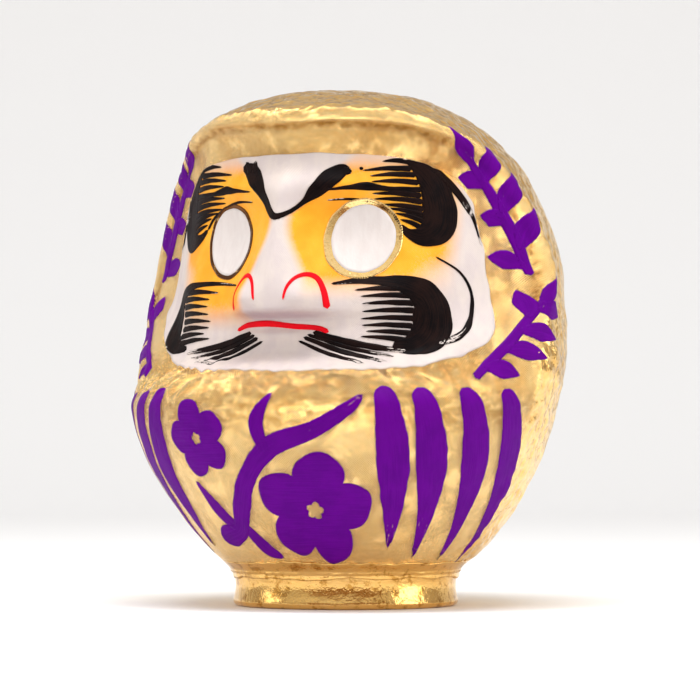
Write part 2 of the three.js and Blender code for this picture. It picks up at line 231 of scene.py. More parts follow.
def past_rim(angle, z):
    """Reach of the hood's front less that of the egg, mm: 0 on the rim, below 0 on the front."""
    z = np.maximum(z, RIM_FOOT)
    return hood_front(np.abs(angle), z) - egg_radius(z)


def beyond_rim(angle, z):
    """0 on the smooth front, 1 on the hammered crown and back."""
    return ease(-2, 5, past_rim(angle, z))


def pulp_relief(angle, z, points):
    """How far the moulded pulp stands off the drawn surface, mm."""
    degrees = np.degrees(angle)
    past = past_rim(angle, z)
    relief = 0.45 * field(points, 27, 3.1) + 0.14 * field(points, 7, 8.7)
    hammered = 0.7 * (dimples(points, DIMPLE) - 0.5) + 0.7 * field(points, 12, 1.7)
    relief += beyond_rim(angle, z) * hammered
    # foil crumpled on the crest of the chest and on the hood's rim, and the groove before the rim
    crest = band(z, 80, 88, 98, 104) + hump(past, 0, 5) * ease(150, 170, z)
    relief += 0.35 * np.clip(crest, 0, 1) * field(points * [1.6, 1.6, 1], 5, 6.3)
    relief -= 0.8 * hump(past, -GROOVE, 1.6) * ease(104, 120, z)
    # upright folds in the collar, strongest on the left of the chest
    collar = band(z, 82, 88, 94, 100)
    folds = np.sin(degrees * 0.95 + 3.4 * field(points, 16, 5.2))
    left = 0.25 + 0.75 * band(degrees, -12, -34, -78, -90)
    return relief + 0.8 * collar * left * folds


# ---------- mesh helpers
def make_piece(name, vertices, faces, material, node):
    """Makes a mesh object from points in mm, which stands for the CAD node."""
    mesh = bpy.data.meshes.new(name)
    mesh.from_pydata((np.asarray(vertices) * MM).tolist(), [], faces)
    mesh.validate()
    mesh.polygons.foreach_set("use_smooth", [True] * len(mesh.polygons))
    mesh.materials.append(material)
    mesh.update()
    piece = bpy.data.objects.new(name, mesh)
    scene.collection.objects.link(piece)
    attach(piece, "root")
    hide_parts(node)
    return piece


def grid_faces(rows, columns, start=0, wrap=False):
    """Quads over a grid of points; a wrapped grid's rows close on themselves."""
    faces = []
    last = columns if wrap else columns - 1
    for i in range(rows - 1):
        for j in range(last):
            right = (j + 1) % columns
            a = start + i * columns
            b = a + columns
            faces.append((a + j, a + right, b + right, b + j))
    return faces


def slab_faces(rows, columns, start=0, ring=False):
    """A closed slab: a grid of points on top, the same grid below it, and walls between them."""
    count = rows * columns
    faces = grid_faces(rows, columns, start, ring)
    faces += [f[::-1] for f in grid_faces(rows, columns, start + count, ring)]
    first = list(range(columns))
    last = [(rows - 1) * columns + j for j in reversed(first)]
    if ring:
        loops = [first, last]
    else:
        right = [i * columns + columns - 1 for i in range(1, rows - 1)]
        left = [i * columns for i in range(rows - 2, 0, -1)]
        loops = [first + right + last + left]
    for loop in loops:
        for a, b in zip(loop, loop[1:] + loop[:1]):
            faces.append((start + b, start + a, start + a + count, start + b + count))
    return faces


def turned_piece(name, rings, material, node):
    """A closed skin of rings, one above the other, with the last joined back to the first."""
    rows, columns = len(rings), len(rings[0])
    faces = grid_faces(rows, columns, wrap=True)
    top = (rows - 1) * columns
    faces += [(top + j, top + (j + 1) % columns, (j + 1) % columns, j) for j in range(columns)]
    make_piece(name, np.concatenate(rings), faces, material, node)


def set_values(piece, name, values):
    layer = piece.data.attributes.new(name, "FLOAT", "POINT")
    layer.data.foreach_set("value", np.asarray(values, dtype=np.float32).ravel())


def surface_tree(piece):
    points = np.empty(len(piece.data.vertices) * 3)
    piece.data.vertices.foreach_get("co", points)
    polygons = [tuple(p.vertices) for p in piece.data.polygons]
    return BVHTree.FromPolygons((points.reshape(-1, 3) / MM).tolist(), polygons)


def drop_on(tree, angle, z):
    """Points and normals where lines into the body at (angle, z) meet the skin in `tree`."""
    starts = body_point(angle, z).reshape(-1, 3)
    normals = body_normal(angle, z).reshape(-1, 3)
    landed, facing = [], []
    for start, normal in zip(starts, normals):
        out = Vector(normal)
        hit = tree.ray_cast(Vector(start) + out * CAST_FROM, -out, CAST_LENGTH)
        if hit[0] is None:
            hit = tree.find_nearest(Vector(start))
        landed.append(hit[0][:])
        facing.append(hit[1][:] if hit[1].dot(out) > 0 else out[:])
    shape = np.shape(angle) + (3,)
    return np.array(landed).reshape(shape), np.array(facing).reshape(shape)


class Paint:
    """One painted mark: thin closed slabs laid on a skin, gathered into one object."""

    def __init__(self, name, tree, material, lift=PAINT_LIFT):
        self.name, self.tree, self.material, self.lift = name, tree, material, lift
        self.vertices, self.faces, self.along, self.dryness = [], [], [], []

    def slab(self, degrees, z, along, dry, ring=False):
        """Adds a slab over a grid of (degrees, z), or over a ring whose rows close on themselves.

        `along` places it in the brush's streaks, and `dry` says how dry the brush was.
        """
        rows, columns = degrees.shape
        points, normals = drop_on(self.tree, np.radians(degrees), z)
        start = len(self.vertices)
        for height in (self.lift, -PAINT_SINK):
            self.vertices += (points + normals * height).reshape(-1, 3).tolist()
        self.along += along.reshape(-1, 2).tolist() * 2
        self.dryness += dry.ravel().tolist() * 2
        self.faces += slab_faces(rows, columns, start, ring)

    def stroke(self, points, wobble=0.05, blunt=(0.5, 0.5), dry=(0.0, 0.0), ragged=0.0, *, seed):
        """A brush stroke through (degrees, z, width) points.

        blunt: roundness of its two ends; dry: how dry the brush is at each; ragged: how far, in mm,
        the bristles run out unevenly at the end.
        """
        path = smooth_path(points)
        degrees, z, width = path.T
        scale = np.radians(1) * body_radius(np.radians(degrees), z)
        run = np.gradient(degrees) * scale
        rise = np.gradient(z)
        step = np.hypot(run, rise)
        length = np.concatenate([[0], np.cumsum((step[1:] + step[:-1]) / 2)])
        total = length[-1]
        rows = max(int(total / STROKE_STEP), 8)
        at = np.linspace(0, total, rows)
        columns = int(np.clip(width.max() / STROKE_STEP, 3, 18)) + 1
        across = np.linspace(-1, 1, columns)

        def along(values):
            return np.interp(at, length, values)

        half = along(width) / 2
        for end, distance in ((0, at), (1, total - at)):
            reach = np.maximum(blunt[end] * half, 0.15)
            half = half * np.sqrt(np.clip(1 - (1 - np.minimum(distance / reach, 1)) ** 2, 0.004, 1))
        # the outline wobbles along the stroke, and the end breaks up into bristles
        grid_at, grid_across = np.meshgrid(at, across, indexing="ij")
        waver = field(np.stack([grid_at / 4.5, grid_across, 0 * grid_at], -1), 1.0, seed)
        offset = half[:, None] * (1 + wobble * np.abs(grid_across) * waver) * grid_across
        jag = field(np.stack([0 * grid_at + 7, grid_across * 4.1, 0 * grid_at], -1), 1.0, seed)
        near = np.clip(1 - (total - grid_at) / max(total * 0.3, 1), 0, 1)
        slide = ragged * jag * near
        way_x, way_z = along(run / step)[:, None], along(rise / step)[:, None]
        sideways = (way_x * slide - way_z * offset) / along(scale)[:, None]
        degrees = along(degrees)[:, None] + sideways
        z = along(z)[:, None] + way_z * slide + way_x * offset
        share = grid_at / total
        thirst = dry[0] * (1 - ease(0, 0.35, share)) + dry[1] * ease(0.55, 1, share)
        self.slab(degrees, z, np.stack([grid_at + 31 * seed, offset], -1), thirst)

    def hair(self, root, tip, width, bow, seed):
        """A thin stroke from a thick root to a fine tip, bowed sideways by `bow` mm."""
        middle = [(root[0] + tip[0]) / 2, (root[1] + tip[1]) / 2 + bow]
        self.stroke([(*root, width), (*middle, width * 0.78), (*tip, width * 0.2)],
                    wobble=0.14, blunt=(0.5, 0.3), dry=(0, 0.45), seed=seed)

    def patch(self, centre, rim, steps):
        """A filled patch whose outline is rim(turn) -> (degrees, z)."""
        u, v = np.meshgrid(np.linspace(-1, 1, steps), np.linspace(-1, 1, steps))
        self.fan(centre, rim, np.arctan2(u, v), np.maximum(np.abs(u), np.abs(v)))

    def ring(self, centre, rim, hole, rings, segments):
        """The same with a hole in it, `hole` being its share of the outline."""
        turn = np.linspace(0, 2 * math.pi, segments, endpoint=False)
        turns, reaches = np.meshgrid(turn, np.linspace(hole, 1, rings))
        self.fan(centre, rim, turns, reaches, ring=True)

    def fan(self, centre, rim, turns, reaches, ring=False):
        """Adds a slab of points at these turns and shares of the way out to the rim."""
        rim_degrees, rim_z = rim(turns)
        degrees = centre[0] + (rim_degrees - centre[0]) * reaches
        z = centre[1] + (rim_z - centre[1]) * reaches
        along = np.stack([degrees - centre[0], z - centre[1]], -1)
        self.slab(degrees, z, along, 0 * z, ring)

    def finish(self, node):
        piece = make_piece(self.name, self.vertices, self.faces, self.material, node)
        set_values(piece, "dryness", self.dryness)
        layer = piece.data.uv_layers.new(name="stroke")
        corners = np.empty(len(piece.data.loops), dtype=np.int32)
        piece.data.loops.foreach_get("vertex_index", corners)
        layer.data.foreach_set("uv", np.array(self.along, dtype=np.float32)[corners].ravel())


def smooth_path(points):
    """A Catmull-Rom curve through the points, cut into SPAN_STEPS between one and the next."""
    known = np.array(points, dtype=float)
    known = np.vstack([2 * known[0] - known[1], known, 2 * known[-1] - known[-2]])
    parts = []
    for i in range(1, len(known) - 2):
        t = np.linspace(0, 1, SPAN_STEPS, endpoint=False)[:, None]
        a, b, c, d = known[i - 1:i + 3]
        parts.append(0.5 * (2 * b + (c - a) * t + (2 * a - 5 * b + 4 * c - d) * t ** 2
                            + (3 * b - a - 3 * c + d) * t ** 3))
    curve = np.vstack(parts + [known[-2][None]])
    curve[:, 2] = np.maximum(curve[:, 2], THINNEST)
    return curve


# ---------- materials
class Nodes:
    """The nodes of a material or a world, and short ways to add to them."""

    def __init__(self, owner):
        owner.use_nodes = True
        self.tree = owner.node_tree

    def node(self, kind, **settings):
        node = self.tree.nodes.new(kind)
        for key, value in settings.items():
            setattr(node, key, value)
        return node

    def feed(self, socket, value):
        if isinstance(value, bpy.types.NodeSocket):
            self.tree.links.new(value, socket)
        else:
            socket.default_value = value

    def math(self, operation, a, b=0.0):
        node = self.node("ShaderNodeMath", operation=operation)
        for socket, value in zip(node.inputs, (a, b)):
            self.feed(socket, value)
        return node.outputs[0]

    def times(self, a, b):
        return self.math("MULTIPLY", a, b)

    def plus(self, a, b):
        return self.math("ADD", a, b)

    def remap(self, value, low, high, to_low=0.0, to_high=1.0):
        node = self.node("ShaderNodeMapRange", interpolation_type="SMOOTHSTEP")
        for socket, item in zip(node.inputs, (value, low, high, to_low, to_high)):
            self.feed(socket, item)
        return node.outputs[0]

    def mix(self, share, a, b):
        node = self.node("ShaderNodeMix", data_type="RGBA")
        for name, value in (("Factor", share), ("A", a), ("B", b)):
            self.feed(node.inputs[name], value)
        return node.outputs["Result"]


class Shader(Nodes):
    """A Principled material whose patterns lie in the object's own space."""

    def __init__(self, name):
        self.material = bpy.data.materials.new(name)
        super().__init__(self.material)
        self.shader = self.tree.nodes["Principled BSDF"]
        self.place = self.node("ShaderNodeTexCoord").outputs["Object"]
        self.normal = None

    def surface(self, colour, roughness, gloss=0.5, metal=0.0):
        for name, value in (("Base Color", colour), ("Roughness", roughness),
                            ("Specular IOR Level", gloss), ("Metallic", metal)):
            self.feed(self.shader.inputs[name], value)

    def noise(self, size_mm, detail, roughness=0.5, where=None, stretch=None):
        node = self.node("ShaderNodeTexNoise")
        source = where or self.place
        if stretch:
            mapping = self.node("ShaderNodeMapping")
            mapping.inputs["Scale"].default_value = stretch
            self.feed(mapping.inputs["Vector"], source)
            source = mapping.outputs[0]
        self.feed(node.inputs["Vector"], source)
        node.inputs["Scale"].default_value = 1 / (size_mm * MM) if where is None else 1 / size_mm
        node.inputs["Detail"].default_value = detail
        node.inputs["Roughness"].default_value = roughness
        return node.outputs["Fac"]

    def cells(self, size_mm):
        node = self.node("ShaderNodeTexVoronoi", feature="F1")
        self.feed(node.inputs["Vector"], self.place)
        node.inputs["Scale"].default_value = 1 / (size_mm * MM)
        return node.outputs["Distance"]

    def value(self, name):
        return self.node("ShaderNodeAttribute", attribute_name=name).outputs["Fac"]

    def bump(self, height, depth_mm):
        """Adds a relief on top of the ones before it."""
        node = self.node("ShaderNodeBump")
        node.inputs["Strength"].default_value = 1.0
        node.inputs["Distance"].default_value = depth_mm * MM
        self.feed(node.inputs["Height"], height)
        if self.normal is not None:
            self.feed(node.inputs["Normal"], self.normal)
        self.normal = node.outputs["Normal"]
        self.feed(self.shader.inputs["Normal"], self.normal)

    def weave(self):
        """The imprint of a wire screen: one set of wires level, one set upright."""
        split = self.node("ShaderNodeSeparateXYZ")
        self.feed(split.inputs[0], self.place)
        turn = self.math("ARCTAN2", split.outputs["X"], self.times(split.outputs["Y"], -1.0))
        per_metre = 2 * math.pi / (WEAVE_PITCH * MM)
        level = self.math("SINE", self.times(split.outputs["Z"], per_metre))
        upright = self.math("SINE", self.times(turn, per_metre * WEAVE_RADIUS * MM))
        return self.times(level, upright)


WEAVE_PITCH = 0.85  # of the wire screen the pulp was moulded on, mm
WEAVE_RADIUS = 75  # where the upright wires have that pitch too, mm
WEAVE_DEPTH = 0.3
PAPER_GLOSS = 0.25

GOLD = (1.0, 0.71, 0.31, 1)
DEEP_GOLD = (0.90, 0.52, 0.13, 1)
# painted shade: the body's foil made deeper and darker for the foot and the joint strip
SHADED_FOOT_GOLD = (0.84, 0.52, 0.17, 1)
BROWN_GOLD = (0.55, 0.28, 0.06, 1)
LACQUER = (0.33, 0.13, 0.03, 1)
# painted shade on the left eye ring
LEFT_RING_SHADE = (0.14, 0.05, 0.012, 1)
PURPLE = (0.118, 0.0, 0.245, 1)
PURPLE_THICK = (0.10, 0.0, 0.215, 1)
INK = (0.003, 0.0015, 0.002, 1)
INK_THIN = (0.013, 0.005, 0.004, 1)
WHITE = (0.70, 0.612, 0.57, 1)
LILAC = (0.60, 0.515, 0.525, 1)
ORANGE = (1.0, 0.45, 0.025, 1)
DEEP_ORANGE = (1.0, 0.36, 0.01, 1)
# painted shadow under the nose
NOSE_SHADOW_COLOUR = (0.36, 0.27, 0.33, 1)
FACE_GAP = (0.66, 0.58, 0.54, 1)
RED = (0.9, 0.003, 0.012, 1)
RED_THIN = (0.72, 0.006, 0.015, 1)
RED_GAP = (0.85, 0.45, 0.4, 1)
EYE_WHITE = (0.74, 0.68, 0.655, 1)
EYE_GREY = (0.70, 0.635, 0.61, 1)
CARD = (0.42, 0.31, 0.19, 1)
CARD_DARK = (0.27, 0.19, 0.11, 1)
CLAY = (0.34, 0.2, 0.11, 1)
CLAY_DARK = (0.2, 0.12, 0.07, 1)


def gold_leaf(name, plain=GOLD, wear_and_shade=0.0, wear_and_shade_colour=BROWN_GOLD, body=False):
    """Gold foil, patched by noise with `wear_and_shade_colour`: rubbed-through wear on the foot and the
    right eye ring, painted shade on the left eye ring.

    On the body, the front has the woven imprint and the back is pitted, with painted shade in the middle of
    each pit; painted shade also browns the gold below the chest's crest, at the neck and in the groove
    before the rim.
    """
    gold = Shader(name)
    patches = gold.noise(26, detail=4)
    cloud = gold.noise(7, detail=4, roughness=0.6)
    grain = gold.noise(1.3, detail=3, roughness=0.6)
    specks = gold.remap(gold.noise(1.0, detail=1), 0.75, 0.8)
    blend = gold.plus(gold.times(patches, 0.6), gold.times(cloud, 0.4))
    tone = gold.mix(gold.remap(blend, 0.45, 0.7, 0.0, 0.35), plain, DEEP_GOLD)
    flecks = gold.noise(0.8, detail=3, roughness=0.7)
    tone = gold.mix(gold.remap(flecks, 0.45, 0.65, 0.0, 0.5), tone, DEEP_GOLD)
    if body:
        front = gold.value("smooth_front")
        rough_back = gold.math("SUBTRACT", 1.0, front)
        pits = gold.cells(3.6)
        # painted shade: deeper gold in the middle of each pit on the hammered back
        pit_shade = gold.times(rough_back, gold.remap(pits, 0.15, 0.7, 0.6, 0.1))
        tone = gold.mix(pit_shade, tone, DEEP_GOLD)
        # painted shade: browner streaks on the gold where the value 'hollow' is high
        streaks = gold.noise(5, detail=5, roughness=0.65, stretch=(1, 1, 1.8))
        painted_shade = gold.times(gold.value("hollow"), gold.remap(streaks, 0.35, 0.62, 0.1, 1.0))
        tone = gold.mix(painted_shade, tone, BROWN_GOLD)
    tone = gold.mix(gold.times(specks, 0.45), tone, LACQUER)
    if wear_and_shade:
        start = 0.72 - 0.3 * wear_and_shade
        wear_and_shade_patches = gold.remap(gold.noise(5, detail=5, roughness=0.7), start, start + 0.1)
        tone = gold.mix(wear_and_shade_patches, tone, wear_and_shade_colour)
    dull = gold.plus(grain, gold.times(cloud, 0.6))
    gold.surface(tone, gold.remap(dull, 0.5, 1.1, 0.11, 0.2), metal=1.0)
    relief, crumple = 0.15, 0.2
    if body:
        relief, crumple = gold.plus(0.07, gold.times(rough_back, 0.4)), 0.4
        clear = gold.remap(gold.noise(8, detail=2), 0.3, 0.6, 0.3, 1)
        screen = gold.times(gold.weave(), clear)
        gold.bump(gold.times(screen, front), WEAVE_DEPTH)
        gold.bump(gold.times(pits, rough_back), 0.5)
    gold.bump(gold.times(cloud, relief), 1.0)
    gold.bump(gold.noise(2.6, detail=3, roughness=0.55), crumple)
    gold.bump(grain, 0.05)
    gold.bump(gold.noise(0.5, detail=2), 0.02)
    return gold.material


def face_paint():
    """White coat with an airbrushed orange blush and soft brush marks."""
    face = Shader("face_paint")
    streaks = face.noise(6, detail=4, stretch=(1, 1, 0.45))
    mist = face.noise(0.7, detail=2)
    cloud = face.noise(14, detail=3)
    cool = face.times(face.remap(streaks, 0.35, 0.65), 0.5)
    tone = face.mix(cool, WHITE, LILAC)
    spray = face.plus(face.times(mist, 0.5), face.times(cloud, 0.5))
    orange = face.mix(face.remap(cloud, 0.35, 0.65), ORANGE, DEEP_ORANGE)
    strength = face.times(face.value("blush"), face.remap(spray, 0.35, 0.6, 0.95, 1.2))
    tone = face.mix(face.math("MINIMUM", strength, 1.0), tone, orange)
    # painted shadow under the nose, where the value 'shade' is high
    tone = face.mix(face.value("shade"), tone, NOSE_SHADOW_COLOUR)
    face.surface(tone, face.remap(streaks, 0.3, 0.7, 0.4, 0.6), PAPER_GLOSS)
    face.bump(face.noise(3.2, detail=4), 0.2)
    face.bump(face.weave(), 0.03)
    face.bump(mist, 0.03)
    return face.material


def brushed(name, thick, thin, under, on_gold=False, roughness=0.5, gloss=0.05):
    """Brushed paint: streaks along the stroke, and gaps showing `under` where the brush ran dry."""
    paint = Shader(name)
    along = paint.node("ShaderNodeUVMap", uv_map="stroke").outputs[0]
    bristles = paint.noise(1, detail=3, where=along, stretch=(0.09, 2.2, 1))
    pools = paint.noise(9, detail=3)
    streaks = paint.remap(paint.plus(bristles, pools), 0.8, 1.2)
    tone = paint.mix(streaks, thick, thin)
    thirst = paint.times(paint.value("dryness"), 0.42)
    edge = paint.plus(bristles, paint.times(paint.noise(1.2, detail=3), 0.35))
    gaps = paint.remap(paint.plus(edge, thirst), 1.0, 1.05)
    rough = paint.remap(bristles, 0.3, 0.7, roughness, roughness + 0.15)
    paint.surface(paint.mix(gaps, tone, under), rough, gloss, gaps if on_gold else 0.0)
    paint.bump(bristles, 0.10)
    paint.bump(paint.noise(4, detail=3), 0.16)
    return paint.material


def eye_paint():
    """Plain white with the marks of a small brush."""
    white = Shader("eye_paint")
    strokes = white.noise(3, detail=4, stretch=(1, 1, 0.3))
    tone = white.mix(white.remap(strokes, 0.35, 0.7), EYE_WHITE, EYE_GREY)
    white.surface(tone, white.remap(strokes, 0.3, 0.7, 0.4, 0.6), PAPER_GLOSS)
    white.bump(strokes, 0.18)
    white.bump(white.noise(0.9, detail=2), 0.03)
    return white.material


def card():
    """Fibrous brown card."""
    pulp = Shader("card")
    fibres = pulp.noise(2.2, detail=5, roughness=0.65)
    tone = pulp.mix(pulp.remap(fibres, 0.3, 0.7), CARD, CARD_DARK)
    pulp.surface(tone, pulp.remap(fibres, 0.3, 0.7, 0.75, 0.95))
    pulp.bump(fibres, 0.3)
    return pulp.material


def clay():
    """Dry lumpy clay."""
    earth = Shader("clay")
    lumps = earth.noise(6, detail=5, roughness=0.6)
    earth.surface(earth.mix(lumps, CLAY, CLAY_DARK), earth.remap(lumps, 0.3, 0.7, 0.85, 1.0))
    earth.bump(lumps, 0.8)
    return earth.material


gold_body = gold_leaf("gold_body", body=True)
# painted shade: the foot's gold is a darker copy of the body's
gold_foot = gold_leaf("gold_foot", SHADED_FOOT_GOLD, wear_and_shade=0.65)
# painted shade: the left eye ring is the right one's gold, darkened almost all over
ring_metal = {1: gold_leaf("gold_ring", wear_and_shade=0.5), -1: gold_leaf("shaded_gold_ring", wear_and_shade=1.3, wear_and_shade_colour=LEFT_RING_SHADE)}
purple = brushed("purple_paint", PURPLE, PURPLE_THICK, DEEP_GOLD, on_gold=True)
black = brushed("black_ink", INK, INK_THIN, FACE_GAP, roughness=0.42, gloss=0.06)
red = brushed("red_ink", RED, RED_THIN, RED_GAP)


# ---------- the shell
def row_heights(count, with_face=True):
    """Heights spaced evenly along the longest of a few profiles."""
    top = 8  # the crown flattens over this height, so it is cut finer
    z = np.concatenate([np.linspace(SEAM_Z, HEIGHT - top, 3000),
                        HEIGHT - top * np.linspace(1, 0, 2000)[1:] ** 3])
    travel = np.zeros(len(z) - 1)
    for degrees in (0, 35, 75, 120, 180):
        points = body_point(np.full(len(z), math.radians(degrees)), z, with_face)
        travel = np.maximum(travel, np.linalg.norm(np.diff(points, axis=0), axis=1))
    run = np.concatenate([[0], np.cumsum(travel)])
    return np.interp(np.linspace(0, run[-1], count), run, z)


def make_shell():
    """The hollow pulp shell: its outside with all its relief, and a plain inside."""
    columns, rows = 400, 226
    angle = np.linspace(-math.pi, math.pi, columns, endpoint=False)
    turns, heights = np.meshgrid(angle, row_heights(rows)[:-1])
    points = body_point(turns, heights)
    normals = body_normal(turns, heights)
    under_face = face_cover(np.degrees(turns), heights)
    relief = pulp_relief(turns, heights, points) * ease(SEAM_Z, SEAM_Z + 6, heights)
    outer = points + normals * (relief - FACE_BED * under_face)[..., None]
    inner_z = row_heights(20, with_face=False)[:-1]
    inner_turns, inner_heights = np.meshgrid(angle, inner_z[::-1])
    inner = body_point(inner_turns, inner_heights, with_face=False)
    axis = np.stack([0 * inner_heights, axis_y(inner_heights), inner_heights], -1)
    inward = (axis - inner) / np.maximum(np.linalg.norm(axis - inner, axis=-1, keepdims=True), 1)
    inner = inner + inward * (WALL + INNER_SLACK)
    inner[..., 2] -= WALL * ease(150, HEIGHT, inner[..., 2])
    skin = np.concatenate([outer, inner]).reshape(-1, 3)
    vertices = np.vstack([skin, [[0, axis_y(HEIGHT), HEIGHT + 0.1]],
                          [[0, axis_y(HEIGHT), inner[0, :, 2].mean() + 0.3]]])
    start = (rows - 1) * columns  # first point of the inside, at its top
    faces = grid_faces(rows - 1, columns, wrap=True)
    faces += grid_faces(len(inner_z), columns, start, wrap=True)
    above = start - columns  # the outside's top row
    last = start + (len(inner_z) - 1) * columns
    pole = len(skin)
    for j in range(columns):
        right = (j + 1) % columns
        faces.append((last + j, last + right, right, j))
        faces.append((above + j, above + right, pole))
        faces.append((start + right, start + j, pole + 1))
    piece = make_piece("gilt_shell", vertices, faces, gold_body, "shell")
    smooth = np.concatenate([1 - beyond_rim(turns, heights).ravel(), np.ones(inner[..., 0].size + 2)])
    set_values(piece, "smooth_front", smooth)
    # painted shade for the gold material, carried in the value 'hollow'
    painted_shade = np.zeros(len(vertices))
    painted_shade[:turns.size] = painted_shade_on_gold(turns, heights).ravel()
    set_values(piece, "hollow", painted_shade)
    return piece


def painted_shade_on_gold(angle, z):
    """1 where shade is painted on the gold: a dark reflection below the chest's crest, and shade at the neck
    and in the groove before the rim.
    """
    around = np.degrees(np.abs(angle))
    under_crest = band(z, 64, 76, 78, 90) * (1 - ease(70, 100, around))
    neck = band(z, 88, 94, 96, 104)
    under_rim = hump(past_rim(angle, z), -GROOVE, 1.8) * ease(104, 120, z)
    return np.clip(0.75 * under_crest + 0.45 * neck + under_rim, 0, 1)


def face_width(side, z):
    """Half-angle of the painted face; its lower left corner is drawn in a little."""
    return FACE_HALF_ANGLE - LEFT_TUCK * (np.asarray(side) < 0) * (1 - ease(98, 118, z))


def face_reach(degrees, z):
    """1 on the outline of the painted face, less inside it."""
    across = np.abs(degrees) / face_width(degrees, z)
    up = np.abs(z - FACE_Z) / FACE_HALF_HEIGHT
    return (across ** 4 + up ** 4) ** 0.25


def face_cover(degrees, z):
    """1 under the face coat, 0 outside it."""
    return 1 - ease(0.96, 1.0, face_reach(degrees, z))


# ---------- the face
def make_face():
    """The white coat: a fine skin over the shell, its edge slightly uneven."""
    columns, rows = 250, 150
    across, up = np.meshgrid(np.linspace(-1, 1, columns), np.linspace(-1, 1, rows))
    # squeezes a square onto a round-cornered outline
    reach = np.maximum(np.abs(across), np.abs(up))
    length = (across ** 4 + up ** 4) ** 0.25
    squeeze = np.where(length > 0, reach / np.maximum(length, 1e-6), 1)
    uneven = 1 + 0.012 * field(np.stack([across * 9, up * 6, 0 * up], -1), 1.0, 4.4) * reach ** 6
    z = FACE_Z + up * squeeze * FACE_HALF_HEIGHT * uneven
    degrees = across * squeeze * face_width(across, z) * uneven
    angle = np.radians(degrees)
    points = body_point(angle, z)
    normals = body_normal(angle, z)
    relief = pulp_relief(angle, z, points) * (0.5 + 0.5 * ease(0.8, 1.0, reach))
    thickness = PAINT_LIFT + FACE_EDGE * ease(0.85, 1, reach)
    top = points + normals * (relief + thickness)[..., None]
    under = points + normals * (relief - FACE_SINK)[..., None]
    vertices = np.concatenate([top, under]).reshape(-1, 3)
    faces = slab_faces(rows, columns)
    piece = make_piece("painted_face", vertices, faces, face_paint(), "face_coat")
    # orange over the eyes and cheeks, and a painted shadow between the lips and the nose
    x, height = np.abs(points[..., 0]), points[..., 2]
    bridge = 1.5 + 9 * (1 - ease(122, 150, height)) + 0.9 * np.clip(height - 153, 0, 30)
    blush = band(x, bridge, bridge + 5, 53, 61)
    low = np.where(across < 0, 107, 118)
    blush *= ease(low, low + 15, height) * (1 - 0.75 * ease(167, 176, height))
    blush *= 1 - 0.6 * ease(44, 56, x) * (1 - ease(130, 140, height))
    shade = 0.7 * hump(height, 114, 2.2) * np.exp(-(x / 19) ** 4)
    set_values(piece, "blush", np.tile(np.clip(blush, 0, 1).ravel(), 2))
    set_values(piece, "shade", np.tile(shade.ravel(), 2))
    return piece


def eye_rim(side, grow, roughness=0.0):
    """The outline of an eye, `grow` mm outside its white, as rim(turn) -> (degrees, z)."""
    def rim(turn):
        radius = 1 + roughness * np.sin(5 * turn + side) + roughness * np.sin(11 * turn)
        x = EYE_X + side * (EYE_RADIUS[0] + grow) * radius * np.sin(turn)
        z = EYE_Z + (EYE_RADIUS[1] + grow) * radius * np.cos(turn)
        around = math.radians(33)
        for _ in range(6):
            around = np.arcsin(np.clip(x / body_radius(around + 0 * x, z), -1, 1))
        return side * np.degrees(around), z
    return rim


def make_eyes(tree):
    white_eye = eye_paint()
    for side, label in SIDES:
        middle_degrees, _ = eye_rim(side, -EYE_RADIUS[0])(np.array(0.0))
        centre = (middle_degrees.item(), EYE_Z)
        ring = Paint(f"gold_eye_ring_{label}", tree, ring_metal[side], INK_LIFT)
        ring.ring(centre, eye_rim(side, RING_WIDTH[side], 0.006), hole=0.8, rings=6, segments=96)
        ring.finish(f"eye_ring_{label}")
        white = Paint(f"blank_eye_{label}", tree, white_eye, EYE_LIFT)
        white.patch(centre, eye_rim(side, 0, 0.004), steps=25)
        white.finish(f"eye_{label}")


# Ink as (degrees, z, width). The brow, whisker and nostril are the right-hand ones, and are mirrored.
# A hair goes from its root to its tip, each as (degrees, z). A moustache hair also has a width.
BROW = [(50.5, 174.2, 2.5), (55.5, 171, 7), (60.5, 164.5, 11.5), (63, 156, 14), (61.5, 148.5, 13.5),
        (56, 144.6, 8.5), (51, 145.5, 4), (47.5, 149, 1.2)]
BROW_EDGE = [(51.5, 174.2, 2.4), (58.5, 172.6, 2.8), (65.2, 167.6, 3), (71.6, 160, 2.8), (75, 153, 1.8)]
BROW_SPECKLE = [(74.6, 155, 1.8), (76.2, 148.5, 1.8), (76.8, 141, 1.2)]
BROW_HAIRS = [((52, 173.2), (40.8, 173.4)), ((52.5, 170.6), (32.6, 169.8)), ((54, 168.2), (35.4, 167.6)),
              ((55, 165.2), (35.9, 165.4)), ((56, 160.2), (36.4, 161)), ((56.5, 157.8), (37.4, 159)),
              ((57, 155), (40, 156.8)), ((57.5, 152.4), (42.6, 155.4)), ((57, 150), (45.9, 153.4)),
              ((56, 147.4), (47.7, 151))]
BROW_LOCK = [(17.5, 162.4, 0.5), (27, 163.3, 1.7), (34, 163.7, 3.1), (43, 162.8, 1.8), (56, 162.6, 2.2)]
LASH = [(47.5, 149, 1.2), (44.5, 153.6, 1.1), (37, 157.4, 1), (28, 158.9, 0.9), (17.6, 158.5, 0.5)]
WHISKER = [(20, 125.8, 0.8), (30, 127, 2.4), (40, 126.9, 3.8), (47.5, 125.4, 7.5), (54, 121.5, 12.5),
           (56.6, 114.5, 15.5), (54.5, 106.8, 14), (49, 102.4, 8.5), (42, 101.6, 3)]
WHISKER_HAIRS = [((48, 124), (28.9, 123.4)), ((50, 121.2), (31, 121)), ((50.5, 118.4), (31.5, 118.2)),
                 ((50.5, 115.6), (31.5, 115.2)), ((50.5, 112.6), (31, 112.4)), ((50, 109.6), (31.5, 109.9)),
                 ((50, 106.6), (33, 107.6)), ((49, 103.8), (31, 105.6))]
